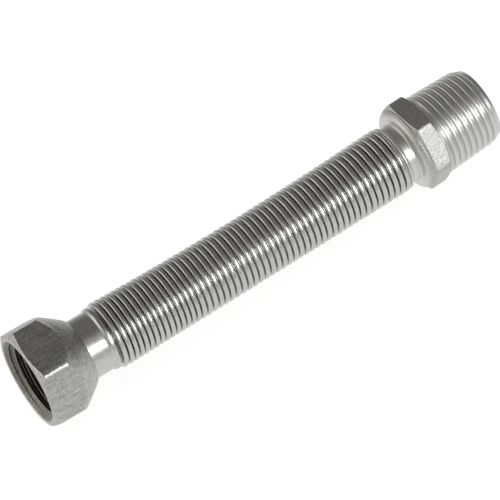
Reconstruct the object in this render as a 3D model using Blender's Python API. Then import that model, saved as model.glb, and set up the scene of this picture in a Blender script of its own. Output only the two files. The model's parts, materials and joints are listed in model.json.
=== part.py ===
# Stainless corrugated water hose: G 1/2 union nut with a flat washer at one end,
# R 1/2 tapered male nipple at the other. Run: blender --background --python part.py
# The hose lies along +X, from the nut to the nipple, resting on both hexagons. Metres, +Z up.

import math

import bmesh
import bpy
from mathutils import Matrix, Vector

MM = 0.001

# Union nut, from its mouth at the zero of the hose's own length.
NUT_FLATS = 25.6 * MM
NUT_CORNER_ROUND = 0.7 * MM
NUT_LENGTH = 15.9 * MM
NUT_MOUTH_RIM = 12.3 * MM
NUT_COUNTERSINK_RADIUS = 11.6 * MM
NUT_FRONT_CHAMFER = 1.4 * MM
NUT_SHOULDER_START = 8.2 * MM
NUT_SHOULDER_BREAK = 9.9 * MM
NUT_REAR_RIM = 9.1 * MM
NUT_BORE_RADIUS = 9.35 * MM
NUT_THREAD_MAJOR = 10.48 * MM
NUT_SEAT_WALL = 3.1 * MM
NUT_RELIEF = 1.6 * MM
NUT_CLOCKING = math.radians(16.5)

# Flanged tail that the nut turns on.
TAIL_NECK_RADIUS = 8.1 * MM
TAIL_BORE_RADIUS = 6.3 * MM
TAIL_FLANGE_THICKNESS = 1.5 * MM
TAIL_NECK_END = 21.2 * MM
TAIL_COLLAR_RADIUS = 8.95 * MM
TAIL_COLLAR_END = 22.9 * MM

WASHER_THICKNESS = 2.0 * MM
WASHER_HOLE_RADIUS = 6.0 * MM
WASHER_CLEARANCE = 0.5 * MM

# Corrugated tube. Its first corrugations are closer together than the rest.
CLOSE_COUNT = 15
OPEN_COUNT = 37
CLOSE_PITCH = 1.575 * MM
OPEN_PITCH = 1.72 * MM
CREST_RADIUS_NUT_END = 9.15 * MM
CREST_RADIUS_MIDDLE = 8.65 * MM
CREST_RADIUS_NIPPLE_END = 9.0 * MM
ROOT_RADIUS = 7.15 * MM
CREST_WALL = 0.35 * MM
ROOT_WALL = 0.45 * MM
CREST_WIDTH_SHARE = 0.42
HOSE_BEND = math.radians(3.5)

# Male nipple, measured from its own tail end.
NIPPLE_COLLAR_RADIUS = 8.95 * MM
NIPPLE_COLLAR_LENGTH = 1.1 * MM
NIPPLE_NECK_RADIUS = 8.0 * MM
NIPPLE_NECK_LENGTH = 1.2 * MM
NIPPLE_FLATS = 22.0 * MM
NIPPLE_CORNER_ROUND = 0.4 * MM
NIPPLE_REAR_RIM = 10.6 * MM
NIPPLE_REAR_SLANT = 1.0 * MM
NIPPLE_REAR_CHAMFER = 2.8 * MM
NIPPLE_HEX_LENGTH = 8.45 * MM
NIPPLE_FRONT_CHAMFER = 1.1 * MM
NIPPLE_FRONT_RIM = 11.2 * MM
NIPPLE_BORE_RADIUS = 6.7 * MM
THREAD_LENGTH = 16.75 * MM
THREAD_START_RADIUS = 10.95 * MM
THREAD_TAPER = 1.0 / 26.0
THREAD_PITCH = 25.4 / 14 * MM
THREAD_DEPTH = 0.95 * MM
THREAD_RUNOUT = 0.9 * MM
THREAD_END_CHAMFER = 2.6 * MM
THREAD_END_STEP = 1.1 * MM
THREAD_END_ROUND = 1.2 * MM

SEAT_GAP = 0.3 * MM
TURNING_GAP = 0.35 * MM
WELD_GAP = 0.1 * MM
EDGE_BREAK = 0.35 * MM

SHARP_ANGLE = math.radians(35.0)
MERGE_DISTANCE = 0.0001 * MM
TUBE_SEGMENTS = 16
LATHE_SEGMENTS = 36
HEX_SIDES = 6

STEEL = (0.62, 0.62, 0.61, 1.0)
SATIN_STEEL = (0.56, 0.56, 0.56, 1.0)
CAST_STEEL = (0.52, 0.52, 0.51, 1.0)
GASKET = (0.05, 0.05, 0.055, 1.0)


def clear_scene():
    for old in list(bpy.data.objects):
        bpy.data.objects.remove(old, do_unlink=True)


def make_material(name, color, roughness, metallic):
    material = bpy.data.materials.new(name)
    material.use_nodes = True
    shader = material.node_tree.nodes["Principled BSDF"]
    shader.inputs["Base Color"].default_value = color
    shader.inputs["Roughness"].default_value = roughness
    shader.inputs["Metallic"].default_value = metallic
    return material


def add_object(name, shape, parent):
    """The finished bmesh as an object of this name, under its parent."""
    bmesh.ops.recalc_face_normals(shape, faces=shape.faces)
    if shape.calc_volume(signed=True) < 0:
        bmesh.ops.reverse_faces(shape, faces=shape.faces)
    mesh = bpy.data.meshes.new(name)
    shape.to_mesh(mesh)
    shape.free()
    mesh.shade_smooth()
    mesh.set_sharp_from_angle(angle=SHARP_ANGLE)
    made = bpy.data.objects.new(name, mesh)
    bpy.context.scene.collection.objects.link(made)
    made.parent = parent
    return made


def turned(profile, segments):
    """A closed profile of (x, radius) points turned about the X axis."""
    shape = bmesh.new()
    points = [shape.verts.new((x, 0.0, radius)) for x, radius in profile]
    edges = [shape.edges.new((a, b)) for a, b in zip(points, points[1:] + points[:1])]
    bmesh.ops.spin(
        shape,
        geom=points + edges,
        cent=(0.0, 0.0, 0.0),
        axis=(1.0, 0.0, 0.0),
        angle=math.tau,
        steps=segments,
        use_merge=True,
    )
    return shape


def hexagon_bar(flats, corner_round, start, end):
    """A hexagonal bar along X with rounded corners and one flat facing down."""
    shape = bmesh.new()
    bmesh.ops.create_cone(
        shape,
        cap_ends=True,
        segments=HEX_SIDES,
        radius1=flats / 2 / math.cos(math.pi / HEX_SIDES),
        radius2=flats / 2 / math.cos(math.pi / HEX_SIDES),
        depth=end - start,
    )
    along = [e for e in shape.edges if abs(e.verts[0].co.z - e.verts[1].co.z) > 0]
    bmesh.ops.bevel(shape, geom=along, offset=corner_round, segments=2, affect="EDGES")
    lay_down = Matrix.Rotation(math.pi / 2, 4, "Y")
    shift = Matrix.Translation(((start + end) / 2, 0.0, 0.0))
    bmesh.ops.transform(shape, matrix=shift @ lay_down, verts=shape.verts)
    lowest = min(shape.verts, key=lambda v: v.co.z).co
    if abs(lowest.y) < flats / 8:
        turn = Matrix.Rotation(math.pi / HEX_SIDES, 4, "X")
        bmesh.ops.transform(shape, matrix=turn, verts=shape.verts)
    return shape


def add_helper(name, shape, target):
    helper = add_object(name, shape, target)
    helper.hide_render = True
    helper.display_type = "WIRE"
    return helper


def cut(target, helper, operation):
    modifier = target.modifiers.new(helper.name, "BOOLEAN")
    modifier.operation = operation
    modifier.object = helper
    modifier.solver = "EXACT"


def washer_front():
    return tail_flange_front() - SEAT_GAP - WASHER_THICKNESS


def nut_seat():
    """Where the nut's inner shoulder pulls on the flange."""
    return NUT_LENGTH - NUT_SEAT_WALL


def tail_flange_front():
    return nut_seat() - SEAT_GAP - TAIL_FLANGE_THICKNESS


def flange_radius():
    return NUT_BORE_RADIUS - TURNING_GAP


def make_union_nut(parent, steel):
    hole = TAIL_NECK_RADIUS + TURNING_GAP
    corner = NUT_FLATS / 2 / math.cos(math.pi / HEX_SIDES) + EDGE_BREAK
    shoulder = NUT_SHOULDER_BREAK
    slope = (NUT_LENGTH - shoulder, NUT_FLATS / 2 - NUT_REAR_RIM)
    profile = [
        (0.0, NUT_COUNTERSINK_RADIUS),
        (0.0, NUT_MOUTH_RIM),
        (NUT_FRONT_CHAMFER, corner),
        (NUT_SHOULDER_START, corner),
        (shoulder, NUT_FLATS / 2),
        (shoulder + slope[0] * 0.4, NUT_REAR_RIM + slope[1] * 0.6),
        (NUT_LENGTH - EDGE_BREAK, NUT_REAR_RIM),
        (NUT_LENGTH, NUT_REAR_RIM - EDGE_BREAK),
        (NUT_LENGTH, hole),
        (nut_seat(), hole),
        (nut_seat(), NUT_THREAD_MAJOR),
        (nut_seat() - NUT_RELIEF, NUT_THREAD_MAJOR),
        (nut_seat() - NUT_RELIEF, NUT_BORE_RADIUS),
        (NUT_COUNTERSINK_RADIUS - NUT_BORE_RADIUS, NUT_BORE_RADIUS),
    ]
    nut = add_object("union_nut", turned(profile, LATHE_SEGMENTS), parent)
    bar = hexagon_bar(NUT_FLATS, NUT_CORNER_ROUND, -EDGE_BREAK, NUT_LENGTH + EDGE_BREAK)
    cut(nut, add_helper("nut_hexagon", bar, nut), "INTERSECT")
    nut.rotation_euler.x = NUT_CLOCKING
    nut.data.materials.append(steel)
    return nut


def make_flanged_tail(parent, steel):
    front = tail_flange_front()
    profile = [
        (front, TAIL_BORE_RADIUS),
        (front, flange_radius() - EDGE_BREAK),
        (front + EDGE_BREAK, flange_radius()),
        (front + TAIL_FLANGE_THICKNESS, flange_radius()),
        (front + TAIL_FLANGE_THICKNESS, TAIL_NECK_RADIUS),
        (TAIL_NECK_END, TAIL_NECK_RADIUS),
        (TAIL_NECK_END + EDGE_BREAK, TAIL_COLLAR_RADIUS - EDGE_BREAK),
        (TAIL_NECK_END + 2 * EDGE_BREAK, TAIL_COLLAR_RADIUS),
        (TAIL_COLLAR_END - EDGE_BREAK, TAIL_COLLAR_RADIUS),
        (TAIL_COLLAR_END, TAIL_COLLAR_RADIUS - EDGE_BREAK),
        (TAIL_COLLAR_END, TAIL_BORE_RADIUS),
    ]
    tail = add_object("flanged_tail", turned(profile, LATHE_SEGMENTS), parent)
    tail.data.materials.append(steel)


def make_sealing_washer(parent, gasket):
    outer = NUT_BORE_RADIUS - WASHER_CLEARANCE
    front = washer_front()
    profile = [
        (front, WASHER_HOLE_RADIUS),
        (front, outer),
        (front + WASHER_THICKNESS, outer),
        (front + WASHER_THICKNESS, WASHER_HOLE_RADIUS),
    ]
    washer = add_object("sealing_washer", turned(profile, LATHE_SEGMENTS), parent)
    washer.data.materials.append(gasket)


def bellows_length():
    return CLOSE_COUNT * CLOSE_PITCH + OPEN_COUNT * OPEN_PITCH


def crest_radius(share):
    """Narrowest in the middle, growing with the square of the way to either end."""
    end = CREST_RADIUS_NUT_END if share < 0.5 else CREST_RADIUS_NIPPLE_END
    return CREST_RADIUS_MIDDLE + (end - CREST_RADIUS_MIDDLE) * (2 * share - 1) ** 2


def bellows_profiles():
    """(outer, inner) lists of (length along, radius) for the whole corrugated tube."""
    outer = [(0.0, ROOT_RADIUS)]
    inner = [(0.0, ROOT_RADIUS - ROOT_WALL)]
    start = 0.0
    for number in range(CLOSE_COUNT + OPEN_COUNT):
        pitch = CLOSE_PITCH if number < CLOSE_COUNT else OPEN_PITCH
        middle = start + pitch / 2
        crest = crest_radius(middle / bellows_length())
        half_top = pitch * CREST_WIDTH_SHARE / 2
        start += pitch
        outer += [(middle - half_top, crest), (middle + half_top, crest), (start, ROOT_RADIUS)]
        inner += [(middle, crest - CREST_WALL), (start, ROOT_RADIUS - ROOT_WALL)]
    return outer, inner


def bellows_frame(along):
    """Position and turn about Z of the hose's centre line, this far along the corrugated tube."""
    heading = HOSE_BEND * along / bellows_length()
    start = TAIL_COLLAR_END + WELD_GAP
    if abs(HOSE_BEND) < 1e-6:
        return Vector((start + along, 0.0, 0.0)), 0.0
    turn_radius = bellows_length() / HOSE_BEND
    away = turn_radius * (1 - math.cos(heading))
    return Vector((start + turn_radius * math.sin(heading), away, 0.0)), heading


def add_bands(shape, rings):
    """A band of faces from each ring to the next, and from the last one back to the first."""
    for ring, following in zip(rings, rings[1:] + rings[:1]):
        for k in range(len(ring)):
            after = (k + 1) % len(ring)
            shape.faces.new((ring[k], ring[after], following[after], following[k]))


def ring_of_points(shape, along, radius):
    centre, heading = bellows_frame(along)
    turn = Matrix.Rotation(heading, 3, "Z")
    angles = [math.tau * k / TUBE_SEGMENTS for k in range(TUBE_SEGMENTS)]
    spokes = [Vector((0.0, math.sin(a) * radius, math.cos(a) * radius)) for a in angles]
    return [shape.verts.new(centre + turn @ spoke) for spoke in spokes]


def make_bellows(parent, steel):
    shape = bmesh.new()
    outer, inner = bellows_profiles()
    add_bands(shape, [ring_of_points(shape, *station) for station in outer + inner[::-1]])
    bellows = add_object("bellows", shape, parent)
    bellows.data.materials.append(steel)


def nipple_hex_start():
    return NIPPLE_COLLAR_LENGTH + NIPPLE_NECK_LENGTH


def nipple_hex_end():
    return nipple_hex_start() + NIPPLE_HEX_LENGTH


def thread_crest(x):
    return THREAD_START_RADIUS - (x - nipple_hex_end()) * THREAD_TAPER


def steady(x, radius):
    """A row of points that is the same all the way round."""
    return lambda turns: (x, radius)


def thread_row(number, start, end):
    """One row of a right-hand helix: two rows of crest, then one of root, fading out at both ends."""
    rows_a_pitch = 3

    def at(turns):
        x = start + (number / rows_a_pitch - turns) * THREAD_PITCH
        x = min(max(x, start), end)
        fade = min(1.0, (x - start) / THREAD_RUNOUT, (end - x) / THREAD_RUNOUT)
        depth = THREAD_DEPTH * fade if number % rows_a_pitch == 0 else 0.0
        return x, thread_crest(x) - depth

    return at


def thread_rows(start, end):
    count = math.ceil(((end - start) / THREAD_PITCH + 1) * 3)
    return [thread_row(number, start, end) for number in range(1, count)]


def wound(rows, segments):
    """Closed rows of points about the X axis, each a function of how far round it is, in turns."""
    shape = bmesh.new()
    rings = []
    for row in rows:
        ring = []
        for k in range(segments):
            x, radius = row(k / segments)
            angle = math.tau * k / segments
            ring.append(shape.verts.new((x, radius * math.sin(angle), radius * math.cos(angle))))
        rings.append(ring)
    add_bands(shape, rings)
    bmesh.ops.remove_doubles(shape, verts=shape.verts, dist=MERGE_DISTANCE)
    return shape


def make_male_nipple(parent, steel):
    """The nipple with its tapered thread, its own X axis along the bent hose's end."""
    corner = NIPPLE_FLATS / 2 / math.cos(math.pi / HEX_SIDES) + EDGE_BREAK
    hex_start = nipple_hex_start()
    hex_end = nipple_hex_end()
    end = hex_end + THREAD_LENGTH
    end_radius = thread_crest(end - THREAD_END_CHAMFER)
    before_thread = [
        (0.0, NIPPLE_BORE_RADIUS),
        (0.0, NIPPLE_COLLAR_RADIUS),
        (EDGE_BREAK, NIPPLE_COLLAR_RADIUS),
        (NIPPLE_COLLAR_LENGTH, NIPPLE_NECK_RADIUS),
        (hex_start, NIPPLE_NECK_RADIUS),
        (hex_start + NIPPLE_REAR_SLANT, NIPPLE_REAR_RIM),
        (hex_start + NIPPLE_REAR_SLANT + NIPPLE_REAR_CHAMFER, corner),
        (hex_end - NIPPLE_FRONT_CHAMFER, corner),
        (hex_end, NIPPLE_FRONT_RIM),
        (hex_end, THREAD_START_RADIUS),
    ]
    after_thread = [
        (end - THREAD_END_CHAMFER, end_radius),
        (end - THREAD_END_ROUND / 4, end_radius - THREAD_END_STEP),
        (end, end_radius - THREAD_END_STEP - THREAD_END_ROUND),
        (end, NIPPLE_BORE_RADIUS),
    ]
    rows = [steady(*point) for point in before_thread]
    rows += thread_rows(hex_end, end - THREAD_END_CHAMFER)
    rows += [steady(*point) for point in after_thread]
    nipple = add_object("male_nipple", wound(rows, LATHE_SEGMENTS), parent)
    bar = hexagon_bar(NIPPLE_FLATS, NIPPLE_CORNER_ROUND, -EDGE_BREAK, end + EDGE_BREAK)
    cut(nipple, add_helper("nipple_hexagon", bar, nipple), "INTERSECT")
    nipple.location, nipple.rotation_euler.z = bellows_frame(bellows_length())
    nipple.location += Matrix.Rotation(HOSE_BEND, 3, "Z") @ Vector((WELD_GAP, 0.0, 0.0))
    nipple.data.materials.append(steel)
    return nipple


def points_of(made):
    """The evaluated mesh's points in world space."""
    bpy.context.view_layer.update()
    evaluated = made.evaluated_get(bpy.context.evaluated_depsgraph_get())
    return [evaluated.matrix_world @ v.co for v in evaluated.data.vertices]


def rest_on_floor(hose, nut, nipple):
    """Pitches the hose until nut and nipple both touch the floor, then centres it."""
    for _ in range(3):
        low_nut = min(points_of(nut), key=lambda p: p.z)
        low_nipple = min(points_of(nipple), key=lambda p: p.z)
        rise = low_nipple.z - low_nut.z
        hose.rotation_euler.y += math.atan2(rise, low_nipple.x - low_nut.x)
    points = points_of(nut) + points_of(nipple)
    hose.location = (
        -(min(p.x for p in points) + max(p.x for p in points)) / 2,
        -(min(p.y for p in points) + max(p.y for p in points)) / 2,
        -min(p.z for p in points),
    )


def build_hose():
    clear_scene()
    steel = make_material("polished_steel", STEEL, 0.25, 1.0)
    satin = make_material("satin_steel", SATIN_STEEL, 0.38, 1.0)
    cast = make_material("cast_steel", CAST_STEEL, 0.45, 1.0)
    gasket = make_material("gasket_rubber", GASKET, 0.7, 0.0)
    hose = bpy.data.objects.new("hose", None)
    bpy.context.scene.collection.objects.link(hose)
    nut = make_union_nut(hose, satin)
    make_flanged_tail(hose, steel)
    make_sealing_washer(hose, gasket)
    make_bellows(hose, steel)
    nipple = make_male_nipple(hose, cast)
    rest_on_floor(hose, nut, nipple)


build_hose()
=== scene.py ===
import json
import math

import bpy
import numpy as np
from mathutils import Matrix, Vector


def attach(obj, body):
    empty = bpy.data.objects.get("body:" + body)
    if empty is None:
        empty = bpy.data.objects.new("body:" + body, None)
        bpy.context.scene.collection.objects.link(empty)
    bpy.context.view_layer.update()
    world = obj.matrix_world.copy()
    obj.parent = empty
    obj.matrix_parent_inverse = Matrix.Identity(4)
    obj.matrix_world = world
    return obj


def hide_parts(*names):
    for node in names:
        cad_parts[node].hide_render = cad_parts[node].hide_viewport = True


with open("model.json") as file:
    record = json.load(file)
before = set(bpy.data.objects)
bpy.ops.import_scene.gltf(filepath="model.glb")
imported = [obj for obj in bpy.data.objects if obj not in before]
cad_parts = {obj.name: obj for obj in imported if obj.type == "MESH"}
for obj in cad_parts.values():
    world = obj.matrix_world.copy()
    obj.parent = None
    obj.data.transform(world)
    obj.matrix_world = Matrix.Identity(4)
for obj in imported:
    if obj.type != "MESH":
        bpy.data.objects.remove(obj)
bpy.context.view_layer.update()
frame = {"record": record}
mm = 0.001
rng = np.random.default_rng(12)


# The hose's own axes: x from the nut's mouth to the nipple, z the way that is up when it lies down.
nutJoint = next(j for j in frame["record"]["behaviour"]["joints"] if j["name"] == "union_nut_spin")
hoseX = np.array(nutJoint["axis"]) / np.linalg.norm(nutJoint["axis"])
hoseZ = np.cross(hoseX, (0.0, 1.0, 0.0))
hoseY = np.cross(hoseZ, hoseX)
hoseTurn = np.column_stack((hoseX, hoseY, hoseZ))
mouth = np.array(nutJoint["pos_m"])


# From the hose's own axes to the CAD frame: turned, then moved to the nut's mouth.
def intoFrame(points):
    return points @ hoseTurn.T + mouth


# shared shape functions


mostOfSide, curvePoints = 0.45, 7  # a rounding takes at most this share of a side, and has this many points


# A polyline whose corners are replaced by parabolas tangent to both sides, sampled about every step.
def roundedRun(corners, fillets, step):
    corners = [np.array(c, float) for c in corners]
    run = [corners[0]]
    for before, corner, after, size in zip(corners, corners[1:], corners[2:], fillets[1:-1]):
        toBefore, toAfter = before - corner, after - corner
        reach = min(size, mostOfSide * np.linalg.norm(toBefore), mostOfSide * np.linalg.norm(toAfter))
        start = corner + toBefore / np.linalg.norm(toBefore) * reach
        end = corner + toAfter / np.linalg.norm(toAfter) * reach
        t = np.linspace(0, 1, curvePoints if size > 0 else 1)[:, None]
        run.extend((1 - t) ** 2 * start + 2 * t * (1 - t) * corner + t**2 * end)
    run.append(corners[-1])
    run = np.array(run)
    fine = [run[:1]]
    for a, b in zip(run, run[1:]):
        count = max(1, int(np.ceil(np.linalg.norm(b - a) / step)))
        fine.append(a + (b - a) * np.linspace(0, 1, count + 1)[1:, None])
    return np.concatenate(fine)


def inMm(*sizes):
    return np.array(sizes) * mm


# Quads between neighbouring points of a grid that closes on itself in both directions.
def gridMesh(name, points, shares=None):
    rows, cols = points.shape[:2]
    index = np.arange(rows * cols).reshape(rows, cols)
    index = np.vstack((index, index[:1]))
    a, b = index[:-1], index[1:]
    quads = np.stack((a, np.roll(a, -1, 1), np.roll(b, -1, 1), b), -1).reshape(-1, 4)
    flat = points.reshape(-1, 3)
    mesh = bpy.data.meshes.new(name)
    mesh.from_pydata(flat.tolist(), [], quads.tolist())
    first, second, third = (flat[quads[:, corner]] for corner in range(3))
    volume = np.einsum("ij,ij->i", first, np.cross(second, third)).sum()
    if volume < 0:  # its faces point inwards
        mesh.flip_normals()
    mesh.shade_smooth()
    for label, values in (shares or {}).items():
        layer = mesh.attributes.new(label, "FLOAT", "POINT")
        layer.data.foreach_set("value", values.ravel().astype(np.float32))
    piece = bpy.data.objects.new(name, mesh)
    bpy.context.scene.collection.objects.link(piece)
    return piece


def ringAngles(values):
    return np.arange(values["angles"]) * math.tau / values["angles"]


# The same radius at every angle, one row for each ring.
def ringRows(radius, angles):
    return np.broadcast_to(radius, (len(radius), len(angles)))


# Points x along the axis and radius away from it, at each angle counted from +z towards +y.
def turnedGrid(x, radius, angles):
    x = np.broadcast_to(x, radius.shape)
    return np.stack((x, radius * np.sin(angles), radius * np.cos(angles)), -1)


# Distance to a hexagon's edge: six planes joined by a high power mean, which rounds the corners.
def hexRadius(angles, flats, clocking, rounding):
    normals = clocking + np.arange(6) * math.pi / 3
    reach = np.clip(np.cos(angles[None, :] - normals[:, None]), 1e-3, None) / (flats / 2)
    return (reach**rounding).sum(0) ** (-1 / rounding)


# A radius just outside the hexagon's corners.
def hexCorner(flats):
    clearance = 0.3 * mm
    return flats / 2 / math.cos(math.pi / 6) + clearance


# The smaller of two distances, with the edge where they meet rounded over the blend.
def softMin(a, b, blend):
    gap = np.clip(0.5 + 0.5 * (b - a) / blend, 0, 1)
    return a * gap + b * (1 - gap) - blend * gap * (1 - gap)


# From 0 along the crest of an outer thread to 1 along its root, with flanks that are half a cosine wave.
def threadWave(phase, crestShare, rootShare):
    fromRoot = np.abs((phase % 1) * 2 - 1)
    flank = np.clip((fromRoot - rootShare) / (1 - crestShare - rootShare), 0, 1)
    return 0.5 + 0.5 * np.cos(math.pi * flank)


# Smooth unevenness round a turned edge: a sum of sine waves of random phase and size, mostly within 1.
def ripple(angles, count, seed):
    waves = np.random.default_rng(seed)
    order = np.arange(2, 2 + count)[:, None]
    phase = waves.uniform(0, math.tau, (count, 1))
    size = waves.uniform(0.3, 1.0, (count, 1)) / count**0.5
    return (size * np.sin(order * angles[None, :] + phase)).sum(0)


# finishes


def newMaterial(name):
    material = bpy.data.materials.new(name)
    material.use_nodes = True
    return material, material.node_tree, material.node_tree.nodes["Principled BSDF"]


def addNode(tree, kind, settings=None, inputs=None):
    node = tree.nodes.new(kind)
    for key, value in (settings or {}).items():
        setattr(node, key, value)
    for key, value in (inputs or {}).items():
        node.inputs[key].default_value = value
    return node


markNoise = {"Detail": 4.0, "Roughness": 0.65}


# Fine marks drawn out along one direction: noise whose x is multiplied by the stretch, put out as a mask.
def makeFineMarks():
    group = bpy.data.node_groups.new("fineMarks", "ShaderNodeTree")
    group.interface.new_socket("Vector", in_out="INPUT", socket_type="NodeSocketVector")
    for name in ("Scale", "Stretch"):
        group.interface.new_socket(name, in_out="INPUT", socket_type="NodeSocketFloat")
    group.interface.new_socket("Marks", in_out="OUTPUT", socket_type="NodeSocketFloat")
    entry = addNode(group, "NodeGroupInput")
    squeeze = addNode(group, "ShaderNodeCombineXYZ", inputs={"Y": 1.0, "Z": 1.0})
    group.links.new(entry.outputs["Stretch"], squeeze.inputs["X"])
    stretched = addNode(group, "ShaderNodeVectorMath", {"operation": "MULTIPLY"})
    group.links.new(entry.outputs["Vector"], stretched.inputs[0])
    group.links.new(squeeze.outputs[0], stretched.inputs[1])
    noise = addNode(group, "ShaderNodeTexNoise", inputs=markNoise)
    group.links.new(stretched.outputs[0], noise.inputs["Vector"])
    group.links.new(entry.outputs["Scale"], noise.inputs["Scale"])
    leave = addNode(group, "NodeGroupOutput")
    group.links.new(noise.outputs[0], leave.inputs["Marks"])
    return group


fineMarks = makeFineMarks()


def placeMarks(tree, scale, stretch):
    place = addNode(tree, "ShaderNodeTexCoord")
    marks = addNode(tree, "ShaderNodeGroup", {"node_tree": fineMarks}, {"Scale": scale, "Stretch": stretch})
    tree.links.new(place.outputs["Object"], marks.inputs["Vector"])
    return marks.outputs["Marks"]


markRange = (0.3, 0.7)  # where nearly all of the noise lies


# The mask stretched from that range to low and high.
def spread(tree, source, low, high):
    mapped = addNode(tree, "ShaderNodeMapRange", inputs={
        "From Min": markRange[0], "From Max": markRange[1], "To Min": low, "To Max": high})
    tree.links.new(source, mapped.inputs["Value"])
    return mapped.outputs["Result"]


def tint(tree, source, dark, light):
    ramp = addNode(tree, "ShaderNodeValToRGB")
    for element, position, colour in zip(ramp.color_ramp.elements, markRange, (dark, light)):
        element.position = position
        element.color = (*colour, 1)
    tree.links.new(source, ramp.inputs["Fac"])
    return ramp.outputs["Color"]


def bumped(tree, shader, source, distance):
    bump = addNode(tree, "ShaderNodeBump", inputs={"Distance": distance, "Strength": 1.0})
    tree.links.new(source, bump.inputs["Height"])
    tree.links.new(bump.outputs["Normal"], shader.inputs["Normal"])


def mathNode(tree, operation, first, second):
    node = addNode(tree, "ShaderNodeMath", {"operation": operation})
    for socket, value in zip(node.inputs, (first, second)):
        if isinstance(value, (int, float)):
            socket.default_value = value
        else:
            tree.links.new(value, socket)
    return node.outputs[0]


def mixNode(tree, factor, first, second, blend="MIX"):
    mix = addNode(tree, "ShaderNodeMix", {"data_type": "RGBA", "blend_type": blend})
    tree.links.new(factor, mix.inputs["Factor"])
    for socket, value in ((mix.inputs[6], first), (mix.inputs[7], second)):
        if isinstance(value, tuple):
            socket.default_value = (*value, 1)
        else:
            tree.links.new(value, socket)
    return mix.outputs[2]


# Bare steel: drawn marks and round pits together steer its colour, roughness and height. Where the cast
# attribute is 0 the steel is turned smooth; where the inside attribute is 1 it is darkened with painted shade.
def steelFinish(name, values):
    material, tree, shader = newMaterial(name)
    shader.inputs["Metallic"].default_value = 1.0
    drawn = mathNode(tree, "MULTIPLY", placeMarks(tree, *values["drawn"]), 1 - values["pitShare"])
    pits = mathNode(tree, "MULTIPLY", placeMarks(tree, values["pits"], 1.0), values["pitShare"])
    mask = mathNode(tree, "ADD", drawn, pits)
    colour = tint(tree, mask, values["dark"], values["light"])
    roughness = spread(tree, mask, *values["roughness"])
    height = mask
    if "cast" in values:
        cast = addNode(tree, "ShaderNodeAttribute", {"attribute_name": values["cast"]}).outputs["Fac"]
        turned = mathNode(tree, "SUBTRACT", 1.0, cast)
        colour = mixNode(tree, cast, values["smoothColour"], colour)
        roughness = mathNode(tree, "ADD", mathNode(tree, "MULTIPLY", roughness, cast),
                             mathNode(tree, "MULTIPLY", turned, values["smoothRoughness"]))
        height = mathNode(tree, "MULTIPLY", mask, mathNode(tree, "ADD", cast, values["smoothBump"]))
    if "inside" in values:
        # painted shade: the inside colour is multiplied in, darkening the nut's bore and thread where shade
        # falls
        inside = addNode(tree, "ShaderNodeAttribute", {"attribute_name": values["inside"]}).outputs["Fac"]
        colour = mixNode(tree, inside, colour, values["insideShadeColour"], "MULTIPLY")
    tree.links.new(colour, shader.inputs["Base Color"])
    tree.links.new(roughness, shader.inputs["Roughness"])
    bumped(tree, shader, height, values["bump"])
    return material


nutFinish = {
    "dark": (0.26, 0.26, 0.245), "light": (0.71, 0.71, 0.69), "roughness": (0.22, 0.42),
    "drawn": (1300.0, 0.14),  # scale, and stretch along the hose
    "pits": 1500.0, "pitShare": 0.55, "bump": 0.16 * mm,
    # the inside colour is painted shade for the nut's bore, seat and thread
    "inside": "insideShadeShare", "insideShadeColour": (0.42, 0.4, 0.37),
}
tubeFinish = {
    "dark": (0.5, 0.5, 0.485), "light": (0.7, 0.7, 0.69), "roughness": (0.17, 0.3),
    "drawn": (1300.0, 0.5), "pits": 2600.0, "pitShare": 0.4, "bump": 0.018 * mm,
}
castFinish = {
    "dark": (0.42, 0.42, 0.405), "light": (0.6, 0.6, 0.59), "roughness": (0.3, 0.5),
    "drawn": (1200.0, 0.8), "pits": 2000.0, "pitShare": 0.6, "bump": 0.16 * mm, "cast": "castShare",
    "smoothColour": (0.69, 0.69, 0.675), "smoothRoughness": 0.34, "smoothBump": 0.12,
}
rubberFinish = {
    "dark": (0.03, 0.03, 0.032), "light": (0.06, 0.06, 0.062), "roughness": 0.7,
    "grain": 1500.0, "bump": 0.03 * mm,
}


# Matt black rubber with a fine even grain.
def rubber(name, values):
    material, tree, shader = newMaterial(name)
    grain = placeMarks(tree, values["grain"], 1.0)
    tree.links.new(tint(tree, grain, values["dark"], values["light"]), shader.inputs["Base Color"])
    shader.inputs["Roughness"].default_value = values["roughness"]
    bumped(tree, shader, grain, values["bump"])
    return material


nutSteel = steelFinish("nutSteel", nutFinish)
tubeSteel = steelFinish("tubeSteel", tubeFinish)
castSteel = steelFinish("castSteel", castFinish)
washerRubber = rubber("washerRubber", rubberFinish)
print("finishes made")


def dress(piece, material, body, node):
    piece.data.materials.append(material)
    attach(piece, body)
    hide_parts(node)


# union nut

nut = {
    "flats": 25.6 * mm, "clocking": -math.radians(16.5), "cornerRounding": 34, "edgeBlend": 0.35 * mm,
    "length": 15.45 * mm, "mouthRim": 12.3 * mm, "countersink": 11.5 * mm, "countersinkSlope": 1.1,
    "frontChamfer": 1.4 * mm, "shoulderStart": 7.4 * mm, "shoulderBreak": 10.0 * mm,
    "bulgeAlong": 0.4, "bulgeOut": 0.6,  # a point of the rear cone, as shares of its length and height
    "rearRim": 9.1 * mm, "rearHole": 8.45 * mm, "rearHoleEdge": 0.2 * mm, "seat": 12.8 * mm,
    "minor": 9.35 * mm, "major": 10.48 * mm, "pitch": 1.814 * mm, "relief": 1.6 * mm,
    "threadCrest": 0.2, "threadRoot": 0.2, "threadFade": 0.3 * mm, "threadEnd": 0.15 * mm,
    "mouthEdge": 0.1 * mm, "rearEdge": inMm(0.35, 0.4),  # small chamfers, the second one along and inwards
    "outerRounding": inMm(0, 0.1, 0.3, 0.5, 2.0, 1.6, 1.5, 0.5, 0.3, 0), "outerStep": 0.22 * mm,
    "seatRounding": inMm(0, 0.2, 0.2, 0), "seatStep": 0.5 * mm,
    "rowsPerPitch": 14, "angles": 288,
}


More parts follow.
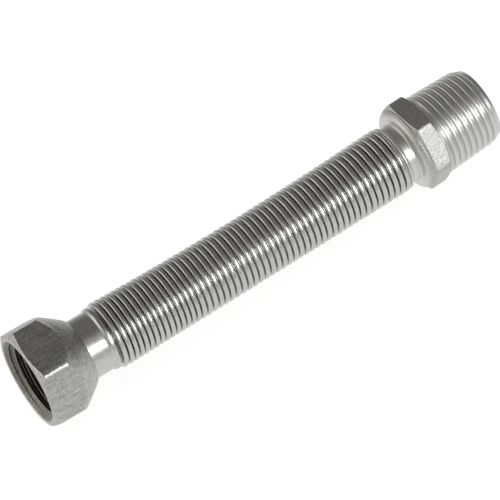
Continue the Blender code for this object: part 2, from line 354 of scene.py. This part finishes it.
# A turned outline cut back by a hexagon, and a bore whose radius waves along a helix.
def makeUnionNut():
    angles = ringAngles(nut)
    corner = hexCorner(nut["flats"])
    coneLength = nut["length"] - nut["shoulderBreak"]
    coneHeight = nut["flats"] / 2 - nut["rearRim"]
    bulge = (nut["shoulderBreak"] + coneLength * nut["bulgeAlong"],
             nut["rearRim"] + coneHeight * nut["bulgeOut"])
    edge = nut["mouthEdge"]
    outer = roundedRun(
        [(edge, nut["countersink"]), (0.0, nut["countersink"] + edge), (0.0, nut["mouthRim"]),
         (nut["frontChamfer"], corner), (nut["shoulderStart"], corner),
         (nut["shoulderBreak"], nut["flats"] / 2), bulge,
         (nut["length"] - nut["rearEdge"][0], nut["rearRim"]),
         (nut["length"], nut["rearRim"] - nut["rearEdge"][1]), (nut["length"], nut["rearHole"])],
        nut["outerRounding"], nut["outerStep"])
    threadStart = nut["seat"] - nut["relief"]
    seatRun = roundedRun(
        [(nut["length"] - nut["rearHoleEdge"], nut["rearHole"]), (nut["seat"], nut["rearHole"]),
         (nut["seat"], nut["major"]), (threadStart, nut["major"])],
        nut["seatRounding"], nut["seatStep"])
    threadX = np.arange(threadStart, nut["threadEnd"], -nut["pitch"] / nut["rowsPerPitch"])
    hexEdge = hexRadius(angles, nut["flats"], nut["clocking"], nut["cornerRounding"])
    outerR = softMin(ringRows(outer[:, 1:], angles), hexEdge[None, :], nut["edgeBlend"])
    turns = threadX[:, None] / nut["pitch"] + angles[None, :] / math.tau
    rise = threadWave(turns, nut["threadCrest"], nut["threadRoot"])
    fadeIn = np.clip((threadStart - threadX[:, None]) / nut["threadFade"], 0, 1)
    threadR = nut["major"] + (nut["minor"] - nut["major"]) * rise * fadeIn
    mouthCone = nut["countersink"] - threadX[:, None] * nut["countersinkSlope"]
    threadR = np.maximum(threadR, mouthCone)
    grid = np.concatenate((
        turnedGrid(outer[:, :1], outerR, angles),
        turnedGrid(seatRun[:, :1], ringRows(seatRun[:, 1:], angles), angles),
        turnedGrid(threadX[:, None], threadR, angles)))
    # the bore, seat and thread get 1 for the painted shade inside the nut, the outside 0
    inside = np.ones(grid.shape[:2])
    inside[:len(outer)] = 0.0
    piece = gridMesh("unionNut", intoFrame(grid), {"insideShadeShare": inside})
    dress(piece, nutSteel, "union_nut", "union_nut")
    print("union nut:", len(piece.data.polygons), "faces")


makeUnionNut()


# flanged tail and washer

tail = {
    "flangeFront": 11.0 * mm, "flangeRadius": 9.0 * mm, "flangeThickness": 1.5 * mm, "bore": 6.3 * mm,
    "neckRadius": 8.1 * mm, "neckEnd": 21.1 * mm, "collarRadius": 8.6 * mm, "collarEnd": 22.35 * mm,
    "end": 22.85 * mm, "root": 7.0 * mm, "flangeEdge": 0.3 * mm,
    "collarRise": inMm(-0.3, 0.25), "collarFall": 0.1 * mm,  # its slopes, counted from neckEnd and collarEnd
    "rounding": inMm(0, 0.3, 0.3, 0.2, 0.3, 0.4, 0.3, 0.3, 0.2, 0, 0), "step": 0.2 * mm,
    "weldUnevenness": 0.06 * mm, "weldWaves": 14, "weldSeed": 3, "weldFade": 1.0 * mm, "angles": 160,
}


# A turned tube with a flange, its welded collar a little uneven round the edge.
def makeFlangedTail():
    angles = ringAngles(tail)
    front, back = tail["flangeFront"], tail["flangeFront"] + tail["flangeThickness"]
    edge = tail["flangeEdge"]
    run = roundedRun(
        [(front + edge, tail["bore"]), (front, tail["bore"] + edge), (front, tail["flangeRadius"]),
         (back, tail["flangeRadius"]), (back, tail["neckRadius"]),
         (tail["neckEnd"] + tail["collarRise"][0], tail["neckRadius"]),
         (tail["neckEnd"] + tail["collarRise"][1], tail["collarRadius"]),
         (tail["collarEnd"], tail["collarRadius"]),
         (tail["collarEnd"] + tail["collarFall"], tail["root"]), (tail["end"], tail["root"]),
         (tail["end"], tail["bore"])],
        tail["rounding"], tail["step"])
    weld = np.clip((run[:, :1] - tail["neckEnd"]) / tail["weldFade"], 0, 1)
    weld = weld * (run[:, 1:] > tail["neckRadius"])
    waves = ripple(angles, tail["weldWaves"], tail["weldSeed"])
    radius = run[:, 1:] + weld * tail["weldUnevenness"] * waves[None, :]
    piece = gridMesh("flangedTail", intoFrame(turnedGrid(run[:, :1], radius, angles)))
    dress(piece, tubeSteel, "hose", "flanged_tail")
    print("flanged tail:", len(piece.data.polygons), "faces")


makeFlangedTail()

washer = {
    "front": 8.7 * mm, "thickness": 2.0 * mm, "hole": 6.0 * mm, "outer": 8.85 * mm, "edge": 0.3 * mm,
    "seam": 7.5 * mm, "seamGap": 0.1 * mm,  # where the outline starts, on the front face, and ends
    "step": 0.4 * mm, "angles": 96,
}


# A flat ring with softly rounded edges, turned about the hose's axis.
def makeWasher():
    angles = ringAngles(washer)
    front, back = washer["front"], washer["front"] + washer["thickness"]
    seam, edge = washer["seam"], washer["edge"]
    run = roundedRun(
        [(front, seam), (front, washer["outer"]), (back, washer["outer"]), (back, washer["hole"]),
         (front, washer["hole"]), (front, seam - washer["seamGap"])],
        [0, edge, edge, edge, edge, 0], washer["step"])
    grid = turnedGrid(run[:, :1], ringRows(run[:, 1:], angles), angles)
    piece = gridMesh("sealingWasher", intoFrame(grid))
    dress(piece, washerRubber, "hose", "sealing_washer")


makeWasher()


# corrugated tube

bellows = {
    "start": 23.0 * mm, "closeCount": 15, "openCount": 37,
    "closePitch": 1.575 * mm, "openPitch": 1.72 * mm,
    "crestNutEnd": 9.15 * mm, "crestMiddle": 8.65 * mm, "crestNippleEnd": 9.0 * mm, "root": 7.15 * mm,
    "wall": 0.3 * mm, "bend": math.radians(3.5), "angles": 108,
    "uneven": 0.05 * mm, "wander": 0.09 * mm,  # from one corrugation to the next, in height and in place
    "unevenRange": (-1, 0.3), "rootPoints": 3, "crestPoints": 9,
    "crestShare": 0.38, "crestHeight": 0.42 * mm, "rootRound": 0.1, "lead": 0.1 * mm, "lastFall": 0.5 * mm,
    "innerHeight": 0.4 * mm, "innerEvery": 5,  # the inner wall is shallower and coarser
}


def bellowsLength():
    return bellows["closeCount"] * bellows["closePitch"] + bellows["openCount"] * bellows["openPitch"]


# Centre and heading at each length along: an arc in the hose's own x and y, tangent to x at its start.
def bentFrame(along):
    heading = bellows["bend"] * along / bellowsLength()
    turnRadius = bellowsLength() / bellows["bend"]
    centre = np.stack((bellows["start"] + turnRadius * np.sin(heading), turnRadius * (1 - np.cos(heading)),
                       np.zeros_like(heading)), -1)
    return centre, heading


# Rings square to the bent centre line.
def sweep(along, radius, angles):
    centre, heading = bentFrame(along)
    side, up = radius * np.sin(angles), radius * np.cos(angles)
    return np.stack((centre[:, :1] - np.sin(heading)[:, None] * side,
                     centre[:, 1:2] + np.cos(heading)[:, None] * side, up), -1)


# One pitch from root to root: a quarter of the root's circle, a straight flank, half a flat ellipse for the
# crest, and the same way back.
def corrugation(height, pitch):
    crest, root, rise = bellows["crestShare"] * pitch, bellows["rootRound"] * pitch, bellows["crestHeight"]
    a = np.linspace(0, 1, bellows["rootPoints"]) * math.pi / 2
    b = np.linspace(0, 1, bellows["crestPoints"]) * math.pi
    rootHalf = np.stack((root * np.sin(a), root * (1 - np.cos(a))), -1)
    crestArc = np.stack((pitch / 2 - crest * np.cos(b), height - rise + rise * np.sin(b)), -1)
    backHalf = np.stack((pitch - root * np.sin(a[::-1]), root * (1 - np.cos(a[::-1]))), -1)[:-1]
    return np.concatenate((rootHalf, crestArc, backHalf))


# The last crest runs down as a cone into the nipple's weld, with no root behind it.
def lastCorrugation(run, top):
    past = run[:, 0] > bellowsLength() - bellows["openPitch"] * 0.5
    fall = (run[past, 0] - run[past, 0].min()) / (bellowsLength() - run[past, 0].min())
    run[past, 1] = top - fall * bellows["lastFall"]
    return run


# The pitch's outline repeated along the tube, each crest with its own small error, swept along the bend.
def makeBellows():
    count = bellows["closeCount"] + bellows["openCount"]
    close = np.arange(count) < bellows["closeCount"]
    pitches = np.where(close, bellows["closePitch"], bellows["openPitch"])
    wander = rng.uniform(-1, 1, count) * bellows["wander"]
    wander[[0, -1]] = 0.0
    pitches = pitches + wander - wander.mean()
    starts = np.concatenate(([0], np.cumsum(pitches)))[:-1]
    share = (starts + pitches / 2) / bellowsLength()
    ends = np.where(share < 0.5, bellows["crestNutEnd"], bellows["crestNippleEnd"])
    crest = bellows["crestMiddle"] + (ends - bellows["crestMiddle"]) * (2 * share - 1) ** 2
    crest = crest + bellows["uneven"] * rng.uniform(*bellows["unevenRange"], count)
    angles = ringAngles(bellows)
    outer = [corrugation(top - bellows["root"], pitch) + (start, bellows["root"])
             for top, pitch, start in zip(crest, pitches, starts)]
    before = outer[0][:, 0] < pitches[0] / 2
    outer[0][before, 0] -= bellows["lead"] * (1 - outer[0][before, 0] / (pitches[0] / 2))
    outer[-1] = lastCorrugation(outer[-1], crest[-1])
    outer = np.concatenate(outer + [[(bellowsLength(), outer[-1][-1, 1])]])
    innerR = np.minimum(outer[:, 1], bellows["root"] + bellows["innerHeight"]) - bellows["wall"]
    inner = np.stack((outer[:, 0], innerR), -1)
    inner = np.concatenate((inner[:-1:bellows["innerEvery"]], inner[-1:]))
    walls = [sweep(run[:, 0], ringRows(run[:, 1:], angles), angles) for run in (outer, inner)]
    grid = np.concatenate((walls[0], walls[1][::-1]))
    piece = gridMesh("bellowsTube", intoFrame(grid))
    dress(piece, tubeSteel, "hose", "bellows")
    print("corrugated tube:", len(piece.data.polygons), "faces")


makeBellows()


# male nipple

nipple = {
    "gap": 0.1 * mm, "ringRadius": 8.75 * mm, "ringLength": 0.75 * mm, "grooveRadius": 7.75 * mm,
    "ringEdge": inMm(0.3, 0.2), "ringFall": 0.15 * mm, "neckStart": 1.15 * mm, "neckRadius": 8.05 * mm,
    "hexStart": 3.5 * mm, "rearRim": 10.4 * mm, "rearSlant": 0.2 * mm, "rearChamfer": 1.3 * mm,
    "rearRadius": 11.25 * mm,  # a round collar, in front of which the flats begin
    "flatsStart": 5.3 * mm, "flatsFade": 0.8 * mm, "flatsLift": 0.8 * mm, "flats": 22.0 * mm,
    "cornerRounding": 34, "edgeBlend": 0.45 * mm, "castFade": 1.0 * mm,
    "hexEnd": 10.75 * mm, "frontChamfer": 1.1 * mm, "frontRim": 11.2 * mm, "bore": 6.7 * mm,
    "threadLength": 16.75 * mm, "threadRadius": 10.95 * mm, "taper": 1 / 26, "pitch": 1.814 * mm,
    "threadPhase": 0.24, "threadCrest": 0.34, "threadRoot": 0.1, "threadDepth": 0.9 * mm,
    "runout": 1.2 * mm, "endChamfer": 2.6 * mm, "endStep": 1.1 * mm, "endRound": 1.2 * mm,
    "threadEdge": 0.1 * mm, "faceMargin": 0.05 * mm,  # a margin on both sides of the hexagon's front face
    "endTuck": 0.4 * mm, "boreEdge": inMm(0.4, 0.2), "boreStart": 0.2 * mm,
    "bodyRounding": inMm(0, 0.1, 0.3, 0.2, 0.1, 0.2, 0.4, 0.7, 1.2, 0.4, 0.4, 0.5, 0.3, 0),
    "frontRounding": inMm(0, 0.3, 0.2, 0.2, 0, 0), "bodyStep": 0.22 * mm, "frontStep": 0.6 * mm,
    "rowsPerPitch": 14, "angles": 240,
}


# Collar, neck and hexagon as a turned outline cut by six planes, then a cone with a helical thread.
def makeMaleNipple():
    angles = ringAngles(nipple)
    corner = hexCorner(nipple["flats"])
    hexStart, hexEnd = nipple["hexStart"], nipple["hexEnd"]
    end = hexEnd + nipple["threadLength"]
    rimX = hexStart + nipple["rearSlant"]
    flatsFull = nipple["flatsStart"] + nipple["flatsFade"]
    body = roundedRun(
        [(0.0, nipple["bore"]), (0.0, nipple["ringRadius"] - nipple["ringEdge"][1]),
         (nipple["ringEdge"][0], nipple["ringRadius"]),
         (nipple["ringLength"], nipple["ringRadius"] - nipple["ringFall"]),
         (nipple["ringLength"] + nipple["ringFall"], nipple["grooveRadius"]),
         (nipple["neckStart"], nipple["neckRadius"]), (hexStart, nipple["neckRadius"]),
         (rimX, nipple["rearRim"]), (rimX + nipple["rearChamfer"], nipple["rearRadius"]),
         (nipple["flatsStart"], nipple["rearRadius"]), (flatsFull, corner),
         (hexEnd - nipple["frontChamfer"], corner),
         (hexEnd, nipple["frontRim"]), (hexEnd, nipple["threadRadius"] - nipple["threadDepth"])],
        nipple["bodyRounding"], nipple["bodyStep"])
    hexEdge = hexRadius(angles, nipple["flats"], 0.0, nipple["cornerRounding"])[None, :]
    beforeFlats = np.clip((flatsFull - body[:, :1]) / nipple["flatsFade"], 0, 1)
    hexEdge = hexEdge + nipple["flatsLift"] * beforeFlats**2
    bodyR = softMin(ringRows(body[:, 1:], angles), hexEdge, nipple["edgeBlend"])
    threadX = np.arange(hexEnd + nipple["faceMargin"], end, nipple["pitch"] / nipple["rowsPerPitch"])[:, None]
    crest = nipple["threadRadius"] - (threadX - hexEnd) * nipple["taper"]
    chamferRun = end - threadX
    endR = nipple["threadRadius"] - (nipple["threadLength"] - nipple["endChamfer"]) * nipple["taper"]
    cone = endR - nipple["endStep"] * np.clip(1 - chamferRun / nipple["endChamfer"], 0, 1)
    turns = threadX / nipple["pitch"] + angles[None, :] / math.tau + nipple["threadPhase"]
    cut = nipple["threadDepth"] * threadWave(turns, nipple["threadCrest"], nipple["threadRoot"])
    runout = np.clip((threadX - hexEnd) / nipple["runout"], 0, 1)
    noLimit = 1.0  # a metre, so far outside that it cuts nothing
    endCone = np.where(chamferRun < nipple["endChamfer"], cone, noLimit)
    threadR = softMin(crest - cut * runout, endCone, nipple["threadEdge"])
    front = roundedRun(
        [(end - nipple["endRound"] / 8, endR - nipple["endStep"] - nipple["endTuck"]),
         (end, endR - nipple["endStep"] - nipple["endRound"]),
         (end, nipple["bore"] + nipple["boreEdge"][1]), (end - nipple["boreEdge"][0], nipple["bore"]),
         (hexEnd, nipple["bore"]), (nipple["boreStart"], nipple["bore"])],
        nipple["frontRounding"], nipple["frontStep"])
    local = np.concatenate((turnedGrid(body[:, :1], bodyR, angles), turnedGrid(threadX, threadR, angles),
                            turnedGrid(front[:, :1], ringRows(front[:, 1:], angles), angles)))
    centre, heading = bentFrame(np.array([bellowsLength()]))
    turn = np.array(Matrix.Rotation(float(heading[0]), 3, "Z"))
    x = local[:, :, 0]
    castRows = np.clip((x - hexStart) / nipple["castFade"], 0, 1) * (x < hexEnd - nipple["faceMargin"])
    castRows[len(body) + len(threadX):] = 0.0
    local = local + np.array((nipple["gap"], 0, 0))
    piece = gridMesh("maleNipple", intoFrame(local @ turn.T + centre[0]), {"castShare": castRows})
    dress(piece, castSteel, "hose", "male_nipple")
    print("male nipple:", len(piece.data.polygons), "faces")


makeMaleNipple()


# floor, light and camera

studio = {
    "floorSize": 1.6, "floorCorners": 96, "floorHeight": -0.2 * mm,
    "floorColour": (0.9, 0.9, 0.9, 1), "floorRoughness": 0.9, "floorSpecular": 0.1,
    "floorWhite": 0.84, "floorShade": 0.3,  # its glow to the camera, and the lit floor's share besides
    "floorNear": 0.86, "floorFar": 0.5,  # its glow to the steel, from the near distance to the far one
    "nearDistance": 0.02, "farDistance": 0.16,
    "dome": 0.17, "domeColour": (1, 0.985, 0.95, 1),
    "lampHeight": math.radians(28.5), "lampDistance": 1.2, "lampAside": 0.4, "lampSize": (0.44, 1.0),
    "lampPower": 6.3, "lampTarget": (0, 0, 0.012),
    "overheadPlace": (0.1, 0.1, 1.6), "overheadSize": (1.6, 1.6), "overheadPower": 14.0,
}
towardsLamp = (0.0, -math.cos(studio["lampHeight"]), math.sin(studio["lampHeight"]))


# A plain pale floor to the lamps, a white one with a soft shadow to the camera, and to the steel's reflections
# a glow that fades with the distance from the hose's line.
def makeFloor():
    bpy.ops.mesh.primitive_circle_add(
        vertices=studio["floorCorners"], radius=studio["floorSize"], fill_type="NGON",
        location=(0, 0, studio["floorHeight"]))
    floor = bpy.context.object
    floor.name = "studioFloor"
    material, tree, shader = newMaterial("paleFloor")
    shader.inputs["Base Color"].default_value = studio["floorColour"]
    shader.inputs["Roughness"].default_value = studio["floorRoughness"]
    shader.inputs["Specular IOR Level"].default_value = studio["floorSpecular"]
    output = tree.nodes["Material Output"]
    rays = addNode(tree, "ShaderNodeLightPath")
    whiteStrength = studio["floorWhite"] / (1 - studio["floorShade"])
    white = addNode(tree, "ShaderNodeEmission", inputs={"Strength": whiteStrength})
    seen = addNode(tree, "ShaderNodeMixShader", inputs={0: studio["floorShade"]})
    tree.links.new(white.outputs[0], seen.inputs[1])
    tree.links.new(shader.outputs[0], seen.inputs[2])
    place = addNode(tree, "ShaderNodeTexCoord")
    away = addNode(tree, "ShaderNodeSeparateXYZ")
    tree.links.new(place.outputs["Object"], away.inputs[0])
    beside = mathNode(tree, "ABSOLUTE", away.outputs["Y"], 0.0)
    fade = addNode(tree, "ShaderNodeMapRange", {"interpolation_type": "SMOOTHSTEP"}, {
        "From Min": studio["nearDistance"], "From Max": studio["farDistance"],
        "To Min": studio["floorNear"], "To Max": studio["floorFar"]})
    tree.links.new(beside, fade.inputs["Value"])
    mirrored = addNode(tree, "ShaderNodeEmission")
    tree.links.new(fade.outputs["Result"], mirrored.inputs["Strength"])
    byCamera = addNode(tree, "ShaderNodeMixShader")
    tree.links.new(rays.outputs["Is Camera Ray"], byCamera.inputs[0])
    tree.links.new(shader.outputs[0], byCamera.inputs[1])
    tree.links.new(seen.outputs[0], byCamera.inputs[2])
    byGloss = addNode(tree, "ShaderNodeMixShader")
    tree.links.new(rays.outputs["Is Glossy Ray"], byGloss.inputs[0])
    tree.links.new(byCamera.outputs[0], byGloss.inputs[1])
    tree.links.new(mirrored.outputs[0], byGloss.inputs[2])
    tree.links.new(byGloss.outputs[0], output.inputs["Surface"])
    floor.data.materials.append(material)


# An area lamp turned to its target. One that isn't mirrored lights the hose but doesn't show in the steel.
def addLamp(name, energy, size, location, target, mirrored=True):
    lamp = bpy.data.lights.new(name, "AREA")
    lamp.shape = "RECTANGLE"
    lamp.size, lamp.size_y = size
    lamp.energy = energy
    holder = bpy.data.objects.new(name, lamp)
    holder.location = location
    holder.rotation_euler = (Vector(target) - Vector(location)).to_track_quat("-Z", "X").to_euler()
    holder.visible_glossy = mirrored
    bpy.context.scene.collection.objects.link(holder)


# direction, where the glow starts and is full (as cosines), strength
worldGlows = [
    (towardsLamp, 0.62, 0.98, 0.38),
    ((-1.0, 0.0, 0.12), 0.5, 0.85, 0.5),
    ((-0.75, 0.55, 0.3), 0.66, 0.94, 0.6),
    ((0.0, -1.0, 0.0), 0.86, 0.99, 0.2),
    ((0.0, 1.0, 0.0), 0.86, 0.99, 0.12),
]


# A dim dome with soft glows, each growing with the cosine of the angle from its direction, and a white
# background to the camera.
def makeWorld():
    world = bpy.data.worlds.new("studioWorld")
    bpy.context.scene.world = world
    world.use_nodes = True
    tree = world.node_tree
    place = addNode(tree, "ShaderNodeTexCoord")
    total = studio["dome"]
    for direction, start, full, strength in worldGlows:
        towards = addNode(tree, "ShaderNodeVectorMath", {"operation": "DOT_PRODUCT"})
        tree.links.new(place.outputs["Generated"], towards.inputs[0])
        towards.inputs[1].default_value = Vector(direction).normalized()
        glow = addNode(tree, "ShaderNodeMapRange", {"interpolation_type": "SMOOTHSTEP"},
                       {"From Min": start, "From Max": full, "To Min": 0.0, "To Max": strength})
        tree.links.new(towards.outputs["Value"], glow.inputs["Value"])
        total = mathNode(tree, "ADD", glow.outputs["Result"], total)
    soft = tree.nodes["Background"]
    soft.inputs["Color"].default_value = studio["domeColour"]
    tree.links.new(total, soft.inputs["Strength"])
    rays = addNode(tree, "ShaderNodeLightPath")
    white = addNode(tree, "ShaderNodeBackground", inputs={"Color": (1, 1, 1, 1)})
    mix = addNode(tree, "ShaderNodeMixShader")
    tree.links.new(rays.outputs["Is Camera Ray"], mix.inputs[0])
    tree.links.new(soft.outputs[0], mix.inputs[1])
    tree.links.new(white.outputs[0], mix.inputs[2])
    tree.links.new(mix.outputs[0], tree.nodes["World Output"].inputs["Surface"])


view = {
    "target": (0.0, 0.0, 0.0125), "distance": 2.0,
    "endOn": math.radians(13.0), "height": math.radians(47.8), "slope": math.radians(31.524),
    "metresPerPixel": 0.2504 * mm, "pixels": 500, "sensor": 36,  # the sensor in millimetres
    "shiftRight": 7.91, "shiftDown": -6.4,  # in pixels
}


# Looks at the hose from its nut end and above, rolled so that the hose rises to the right.
def makeCamera():
    toCamera = Vector((-math.sin(view["endOn"]), -math.cos(view["endOn"]) * math.cos(view["height"]),
                       math.cos(view["endOn"]) * math.sin(view["height"])))
    alongHose = (Vector((1, 0, 0)) - toCamera * toCamera.x).normalized()
    across = toCamera.cross(alongHose)
    right = math.cos(view["slope"]) * alongHose - math.sin(view["slope"]) * across
    up = math.sin(view["slope"]) * alongHose + math.cos(view["slope"]) * across
    camera = bpy.data.objects.new("camera", bpy.data.cameras.new("camera"))
    turn = Matrix((right, up, toCamera)).transposed().to_4x4()
    camera.matrix_world = Matrix.Translation(Vector(view["target"]) + toCamera * view["distance"]) @ turn
    camera.data.sensor_width = view["sensor"]
    camera.data.lens = view["sensor"] * view["distance"] / (view["metresPerPixel"] * view["pixels"])
    camera.data.shift_x = -view["shiftRight"] / view["pixels"]
    camera.data.shift_y = view["shiftDown"] / view["pixels"]
    bpy.context.scene.collection.objects.link(camera)
    bpy.context.scene.camera = camera


makeFloor()
makeWorld()
makeCamera()
lampPlace = Vector(towardsLamp) * studio["lampDistance"] + Vector((studio["lampAside"], 0, 0))
addLamp("frontStrip", studio["lampPower"], studio["lampSize"], lampPlace, studio["lampTarget"])
addLamp("overhead", studio["overheadPower"], studio["overheadSize"], studio["overheadPlace"], (0, 0, 0),
        mirrored=False)
bpy.context.scene.view_settings.view_transform = "Standard"
print("studio ready")
